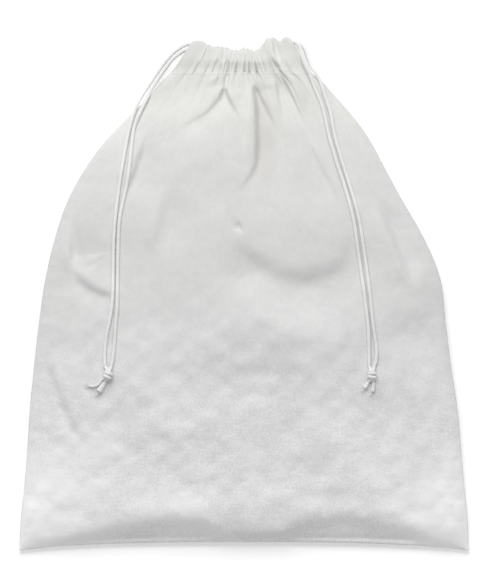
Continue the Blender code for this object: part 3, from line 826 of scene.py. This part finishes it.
def cotton_cloth():
    """Plain woven cotton: threads both ways, slubs, faint clouds and a few seed specks; painted shade darkens one
    hollow and the casing's top edge.
    """
    n = Nodes("cotton_cloth")
    flat = n.add("ShaderNodeAttribute", attribute_name="flat_place").outputs["Vector"]
    x, y, _ = n.add("ShaderNodeSeparateXYZ", {0: flat}).outputs
    wander = n.math("MULTIPLY", n.noise(flat, 90.0), THREAD_WANDER)
    weave = n.math("MULTIPLY", *(
        n.math("SINE", n.math("ADD", n.math("MULTIPLY", along, THREAD_TURNS), wander), 0.0) for along in (x, y)))
    slubs = n.math("ADD", *(n.noise(n.stretched(flat, scale), 1.0, 2.0) for scale in SLUB_SCALES))
    clouds = n.noise(flat, 26.0, 5.0, 0.62)
    mottle = n.noise(flat, 210.0, 4.0, 0.6)
    worn = n.share(y, 0.2, 0.11)
    grain, patches = (n.math("MULTIPLY", n.math("SUBTRACT", some, 0.5), worn)
                      for some in (n.noise(flat, 640.0, 2.0, 0.7), n.noise(flat, 22.0, 4.0, 0.6)))
    tone = n.sum((clouds, 0.45), (mottle, 0.35), (slubs, 0.1), (grain, 1.0), (patches, 0.7))
    light = n.share(tone, 0.38, 0.58)
    thin = n.math("MULTIPLY", n.share(n.math("ABSOLUTE", x, 0.0), 0.085, 0.14), n.share(y, 0.09, 0.04))
    pale = n.mix(thin, n.mix(light, COTTON_PALE_SHADE, COTTON_PALE), COTTON_THIN)
    middle = n.mix(light, COTTON_MIDDLE_SHADE, COTTON_MIDDLE)
    warm = n.mix(light, COTTON_WARM_SHADE, COTTON_WARM)
    body = n.mix(n.share(y, 0.28, 0.35), n.mix(n.share(y, 0.07, 0.2), pale, middle), warm)
    # Painted shade: the hollow right of the upright fold is darkened, a little warm, in the cloth's colour.
    off = [n.math("POWER", n.math("DIVIDE", n.math("SUBTRACT", along, place), reach), 2.0)
           for along, place, reach in zip((x, y), PAINTED_SHADE_PLACE, PAINTED_SHADE_REACH)]
    body = n.mix(n.share(n.math("ADD", *off), 1.0, 0.1, 0.0, 0.85), body, COTTON_PAINTED_SHADE)
    # Painted shade: a darker band along the casing's top edge, where the cloth curls over.
    from_edge = n.math("ABSOLUTE", n.math("SUBTRACT", y, TOP_FLAT_Y), 0.0)
    body = n.mix(n.share(from_edge, 0.014, 0.0, 0.0, 0.75), body, COTTON_PAINTED_EDGE_SHADE)
    specks = n.share(n.noise(flat, 620.0, 1.0), 0.8, 0.84)
    n.set("Base Color", n.mix(n.math("MULTIPLY", specks, 0.5), body, SEED_SPECK))
    n.set("Roughness", n.share(mottle, 0.3, 0.7, 0.82, 0.95))
    n.set("Sheen Weight", 0.15)
    n.set("Sheen Roughness", 0.6)
    n.set("Specular IOR Level", 0.25)
    n.bump(n.sum((weave, 0.3), (slubs, 0.9), (mottle, 1.6), (grain, 2.0)), 0.55, 0.00016)
    return n.material


def cord_cotton(name, colours, scale):
    """Cotton yarn: fine fibres along each strand and a little grey between them."""
    n = Nodes(name)
    place = n.add("ShaderNodeTexCoord").outputs["Object"]
    fibre = n.noise(n.stretched(place, (scale, scale * 0.35, scale)), 1.0, 4.0, 0.65)
    tone = n.sum((fibre, 0.6), (n.noise(place, 60.0, 3.0), 0.4))
    colour, shade = colours
    n.set("Base Color", n.mix(n.share(tone, 0.35, 0.62), shade, colour))
    n.set("Roughness", n.share(fibre, 0.3, 0.7, 0.72, 0.92))
    n.set("Sheen Weight", 0.2)
    n.set("Sheen Roughness", 0.5)
    n.set("Specular IOR Level", 0.3)
    n.bump(fibre, 0.5, 0.00012)
    return n.material


# ---- pieces


def flat_places(u, v):
    """Metres across and along the flat cloth."""
    return np.stack([u * FLAT_SIZE[0] / 2, v * FLAT_SIZE[1], np.zeros_like(u)], -1).reshape(-1, 3)


def between(piece, weights):
    """Bakes the piece's placement into its points. weights is not used."""
    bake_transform(piece)
    piece.data.update()


def with_mouth(piece, share=None):
    """Works out how far each point of the piece would follow the mouth as it opens, all of it there and none low in
    the bag, and hands that to between.
    """
    x, y, _ = points_of(piece.data).T
    if share is None:
        share = np.where(y > STITCH_Y, share_across(x, *CASING_TOP), share_across(x, *edges_at(y)))
    spread = smoothstep((y - SPREAD_Y[0]) / (SPREAD_Y[1] - SPREAD_Y[0]))
    between(piece, 0.5 + 0.5 * spread * np.clip(np.ravel(share), -1, 1))


def stands_for(node):
    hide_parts(node)


def cloth_piece(name, node, points, faces, places, share, cotton, thickness=CLOTH_THICKNESS):
    """A piece of cloth, given weights for following the mouth. Its weave follows places, where its points lie on the
    flat cloth.
    """
    piece = new_mesh(name, points.reshape(-1, 3), faces, cotton)
    attribute = piece.data.attributes.new("flat_place", "FLOAT_VECTOR", "POINT")
    attribute.data.foreach_set("vector", np.asarray(places, np.float32).ravel())
    with_mouth(piece, share)
    if thickness:
        shell = piece.modifiers.new("thickness", "SOLIDIFY")
        shell.thickness = thickness
        shell.offset = -1
    stands_for(node)
    return piece


def sewn(name, node, parts, thread):
    piece = joined(name, parts, thread)
    with_mouth(piece)
    stands_for(node)


def make_panels():
    """The grids of both panels, and the shares across and along of their points."""
    size = (ACROSS * FINER, ALONG * FINER)
    u, v, x, y = panel_grid(*size)
    front = np.stack([x, y, crown(u, v, y)], -1)
    front += finer(settle(), SIM_CELLS)
    back = back_start(*size)
    from_foot = y - foot_of(u)
    height, reach = FOOT_BULGE
    roll = from_foot / reach
    front[..., 2] += height * roll * np.exp(1 - roll) * inwards(u, 0.08)
    front[..., 2] += front_relief(u, x, y) * smoothstep(from_foot / ROW_FADE)
    over = front[..., 2] - (smooth(foot_of(u), ROW_Y, FRONT_EDGE_Z) + FOOT_SLOPE * from_foot)
    above = (over + np.sqrt(over ** 2 + FOOT_SOFT ** 2)) / 2
    by_foot = smoothstep(from_foot / 0.002) * (1 - smoothstep((from_foot - 0.02) / 0.015))
    front[..., 2] += by_foot * inwards(u, 0.05) * (above - over)
    front[..., 2] += crinkles(x, y, u, 5) * smoothstep(from_foot / ROW_FADE)
    place, width, height = FOOT_WELT
    welt = np.exp(-((from_foot - place) / width) ** 2) * height
    front[..., 2] += welt * (0.55 + 0.6 * field(x, y * 0, 0.05, 31, 2)) * inwards(u, 0.1)
    back[..., 2] = np.maximum(back[..., 2] + 0.6 * crinkles(x, y, u, 17), LOWEST)
    gap = np.where(np.abs(u) > 0.9999, SEAM_GAP, 0)
    front[..., 2] += gap
    back[..., 2] -= gap
    return front, back, u, v


def panel_piece(which, grid, u, v, cotton):
    """A panel, whose top goes on a little way inside its casing."""
    flip = which == "back"
    inward = (1 if flip else -1) * TUCK * 0.6
    drawn = (place_across(u[-1], *CASING_TOP) - grid[-1][:, 0]) * TUCK_DRAW
    tucks = [grid[-1] + np.stack([k * drawn, 0 * drawn + k * TUCK, 0 * drawn + inward], -1) for k in (1, 2)]
    grid = np.concatenate([grid, tucks])
    u = np.concatenate([u, u[-2:]])
    v = np.concatenate([v, v[-2:] + TUCK_FLAT])
    return cloth_piece(f"{which}_panel_cloth", f"{which}_panel", grid, grid_faces(*grid.shape[:2], flip=flip),
                       flat_places(u, v * STITCH_SHARE), u, cotton)


def top_edge(x):
    return smooth(x, *zip(*TOP_EDGE))


def casing_grid(which, row, u):
    """Rings round a casing, from the panel's top row over its outer side and its top edge and back inside."""
    outer = 1 if which == "front" else -1
    turn = np.linspace(0, 1, CASING_RING + 1)[:-1][None]
    foot_x, foot_y, foot_z = (row[:, None, k] + 0 * turn for k in range(3))
    share = u[:, None] + 0 * turn
    rise = (1 - np.cos(2 * math.pi * turn)) / 2 + 0 * share
    top_x = place_across(share, *CASING_TOP)
    high = top_edge(top_x) - (0 if outer > 0 else BACK_TOP_LOWER)
    crest = pleats(along_mouth(share), np.zeros_like(share)) / max(PLEAT_HEIGHTS)
    level = pleats(along_mouth(share), np.full_like(share, -0.01)) / max(PLEAT_HEIGHTS)
    height, size = SCALLOP_NOISE
    high = high + SCALLOP * (crest - level) + height * field(share * 0.045, share * 0, size, 27 + outer, 2)
    y = foot_y + rise * (high - foot_y)
    x = foot_x + rise ** CASING_FLARE * (top_x - foot_x)
    x = x + CASING_SWAY * np.sin(share * 9 + 1.0) * rise * (1 - np.abs(share))
    swell = CASING_HEIGHT / 2 * smoothstep(rise / 0.5) * np.sqrt(1 - np.clip((rise - 0.5) / 0.5, 0, 1) ** 5)
    relief = front_relief(share, x, y) - front_relief(share, foot_x, foot_y) if outer > 0 else 0
    base = foot_z * (1 - rise) + CASING_Z[which] * rise
    outside = base + outer * swell + relief * (1 - rise ** 6)
    inside = base - outer * (CASING_WALL * (1 - rise) + swell)
    z = np.where(turn <= 0.5, outside, inside) + 0.0002 * field(x, y, 0.006, 20 + outer, 2) * rise
    if which == "back":
        z = np.maximum(z, BACK_CASING_LOWEST)
    return np.stack([x, y, z], -1)


def casing_piece(which, row, u, cotton):
    grid = casing_grid(which, row, u)
    faces = grid_faces(*grid.shape[:2], flip=which == "front", closed=True)
    share, turn = np.meshgrid(u, np.linspace(0, 1, CASING_RING), indexing="ij")
    places = flat_places(share, STITCH_SHARE + (1 - STITCH_SHARE) * turn)
    return cloth_piece(f"{which}_casing_cloth", f"{which}_casing", grid, faces, places, share, cotton)


def make_sewing(front, back, cotton, thread):
    """Seam allowances inside the bag with their stitches, and the casings' stitches."""
    for which, grid, up in (("front", front, 1), ("back", back, -1)):
        line = (grid[-3] - np.array((0, 0, up * 0.00006)))[8:-8]
        sewn(f"{which}_casing_stitches", f"{which}_casing_thread", stitches([line]), thread)
    inside = Ground(back)
    ys = np.linspace(*SIDE_ALLOWANCE_Y, ALLOWANCE_POINTS)
    for name, side, edge in zip(("left", "right"), (-1, 1), edges_at(ys)):
        allowance(name, edge - side * ALLOWANCE_INSET, ys, (ALLOWANCE_WIDTH, 0, 0), inside, cotton, thread)
    xs = np.linspace(*FOOT_ALLOWANCE_X, ALLOWANCE_POINTS)
    ys = np.full(ALLOWANCE_POINTS, ROW_Y[0] + FOOT_CURVE + ALLOWANCE_INSET)
    allowance("bottom", xs, ys, (0, -ALLOWANCE_WIDTH, 0), inside, cotton, thread)


def allowance(name, xs, ys, across, inside, cotton, thread):
    """A seam allowance lying on the inside of the back panel, and its stitches."""
    zs = [inside.height(x, y) + CLOTH_THICKNESS + ALLOWANCE_THICKNESS + 0.0003 for x, y in zip(xs, ys)]
    line = np.stack([xs, ys, zs], 1)
    points, faces = ribbon(line, across, ALLOWANCE_THICKNESS, 3)
    cloth_piece(f"{name}_seam_allowance_cloth", f"{name}_seam_allowance", points, faces, points, None, cotton, 0)
    above = line + np.array((0, 0, STITCH_RADIUS * 0.6))
    parts = stitches([above + np.array(across) * 0.25])
    parts += stitches(overlock(above, ALLOWANCE_WIDTH * 0.9, 0.003), 0.006, 0.0002, STITCH_RADIUS * 0.8)
    sewn(f"{name}_seam_stitches", f"{name}_seam_thread", parts, thread)


def make_slits(front, back, u, cotton, thread):
    """The turned hems inside the edges of both slits, and the bar tack at the foot of each."""
    for side, name in ((-1, "left"), (1, "right")):
        for which, grid, up in (("front", front, -1), ("back", back, 1)):
            rows = np.where(grid[:, 0 if side < 0 else -1, 1] > SLIT_FOOT_Y + 0.002)[0][:-1]
            columns = slice(1, 1 + HEM_COLUMNS) if side < 0 else slice(-1 - HEM_COLUMNS, -1)
            patch = grid[rows][:, columns] + np.array((0, 0, up * (CLOTH_THICKNESS + 0.0004)))
            faces = grid_faces(*patch.shape[:2], flip=up < 0)
            cloth_piece(f"{which}_{name}_hem_cloth", f"{which}_{name}_slit_hem", patch, faces, patch,
                        u[rows][:, columns], cotton, -CLOTH_THICKNESS)
        low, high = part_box(f"{name}_slit_tack")
        middle = (low + high) / 2
        parts = []
        for k in range(TACK_BARS):
            y = low.y + (high.y - low.y) * (k + 0.5) / TACK_BARS
            x = float(edges_at(y)[0 if side < 0 else 1]) - side * TACK_INSET
            path = through([(x, y, low.z), (x + side * TACK_BULGE, y, middle.z), (x, y, high.z)], STITCH_STEP)
            parts.append(round_tube(path, np.full(len(path), STITCH_RADIUS), STITCH_SIDES))
        tack = joined(f"{name}_slit_bar_tack", parts, thread)
        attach(tack, f"{name}_mouth")
        stands_for(f"{name}_slit_tack")


def lowest_top(x):
    """The lowest the casings' top edge comes within a cord's reach of x."""
    return float(top_edge(x + np.linspace(-0.004, 0.004, 9)).min())


def loop_path(name, start):
    """A cord's stretch inside the casings: along the front one, round the far end, and back in the back one."""
    side = -1 if name == "left" else 1
    far = -side
    run = [start[:2]] + [(side * x, lowest_top(side * x) - LOOP_DEPTH[name]) for x in LOOP_X]
    high, low = CASING_Z["front"], CASING_Z["back"]
    end_y = lowest_top(far * LOOP_TURN[far]) - LOOP_DEPTH[name]
    middle, radius = (high + low) / 2, (high - low) / 2
    turn = []
    for step in range(7):
        angle = math.pi * step / 6
        reach = LOOP_TURN[far] + LOOP_REACH * math.sin(angle)
        turn.append((far * reach, end_y, middle + radius * math.cos(angle)))
    return [(x, y, high) for x, y in run] + turn + [(x, y, low) for x, y in run[::-1]]


def make_cords(ground, cord):
    """The drawcords; gives back the paths of what lies on the cloth."""
    pressed = []
    for name, routes in CORDS.items():
        paths = [laid(route, ground) for route in routes]
        tail_paths, end_paths = paths[:2], paths[2:]
        pressed += paths
        low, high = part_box(f"{name}_cord_knot")
        centre = np.array((low + high) / 2)
        centre[2] = ground.height(centre[0], centre[1]) + KNOT_RADIUS + KNOT_CORD / 2
        pieces = [joined(f"{name}_knot_cord", knot_parts(centre, tail_paths, end_paths), cord)]
        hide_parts(f"{name}_cord_knot")
        for which, path, seed, flare in zip(("front", "back"), end_paths, (1, 2), FRAYED[name]):
            parts = [braid(path, CORD_DIAMETER, flare)[:2]]
            parts += fibres(path[-1], unit(path[-1] - path[-2]), seed + len(name))
            pieces.append(joined(f"{name}_{which}_cut_end", parts, cord))
            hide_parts(f"{name}_cord_{which}_end")
        for piece in pieces:
            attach(piece, f"{name}_knot")
        for which, path, mine in zip(("front", "back"), tail_paths, (pieces[:2], pieces[2:])):
            points, faces, line = braid(path, CORD_DIAMETER)
            tail = new_mesh(f"{name}_{which}_tail_cord", points, faces, cord)
            between(tail, np.repeat(np.linspace(0, 1, len(line)), CORD_SIDES))
            stands_for(f"{name}_cord_{which}_tail")
            round(length_of(line), 4)
        loop = new_mesh(f"{name}_loop_cord", *braid(loop_path(name, routes[0][0]), CORD_DIAMETER)[:2], cord)
        between(loop, 0.5 + 0.5 * share_across(points_of(loop.data)[:, 0], *CASING_TOP))
        stands_for(f"{name}_cord_loop")
    return pressed


# ---- floor, light and camera


def studio():
    scene = bpy.context.scene
    white = Nodes("floor_white")
    white.set("Base Color", FLOOR_WHITE)
    white.set("Roughness", 0.9)
    white.set("Emission Color", (1, 1, 1, 1))
    white.set("Emission Strength", FLOOR_GLOW)
    corners = [(x * FLOOR_HALF, y * FLOOR_HALF, 0) for x, y in ((-1, -1), (1, -1), (1, 1), (-1, 1))]
    floor = new_mesh("floor", corners, [(0, 1, 2, 3)], white.material)
    floor.location.z = FLOOR_Z

    camera = bpy.data.cameras.new("camera")
    camera.type = "ORTHO"
    camera.ortho_scale = VIEW_HEIGHT
    camera.clip_end = 10
    eye = bpy.data.objects.new("camera", camera)
    eye.location = VIEW_PLACE
    scene.collection.objects.link(eye)
    scene.camera = eye

    for name, place, size, energy in LIGHTS:
        light = bpy.data.lights.new(name, "AREA")
        light.size = size
        light.energy = energy
        lamp = bpy.data.objects.new(name, light)
        lamp.location = place
        lamp.rotation_euler = (-Vector(place)).to_track_quat("-Z", "Y").to_euler()
        scene.collection.objects.link(lamp)
    world = bpy.data.worlds.new("studio")
    world.use_nodes = True
    background = world.node_tree.nodes["Background"].inputs
    background["Color"].default_value = (1, 1, 1, 1)
    background["Strength"].default_value = WORLD_LIGHT
    scene.world = world
    scene.view_settings.view_transform = "Standard"


def main():
    studio()
    cotton = cotton_cloth()
    cord = cord_cotton("cotton_cord", CORD_COLOURS, CORD_FIBRES)
    thread = cord_cotton("sewing_thread", THREAD_COLOURS, THREAD_FIBRES)
    front, back, u, v = make_panels()
    front = press(front, make_cords(Ground(front), cord))
    grids = {"front": front, "back": back}
    panels = [panel_piece(which, grid, u, v, cotton) for which, grid in grids.items()]
    casings = [casing_piece(which, grid[-1], u[-1], cotton) for which, grid in grids.items()]
    make_sewing(front, back, cotton, thread)
    make_slits(front, back, u, cotton, thread)


main()
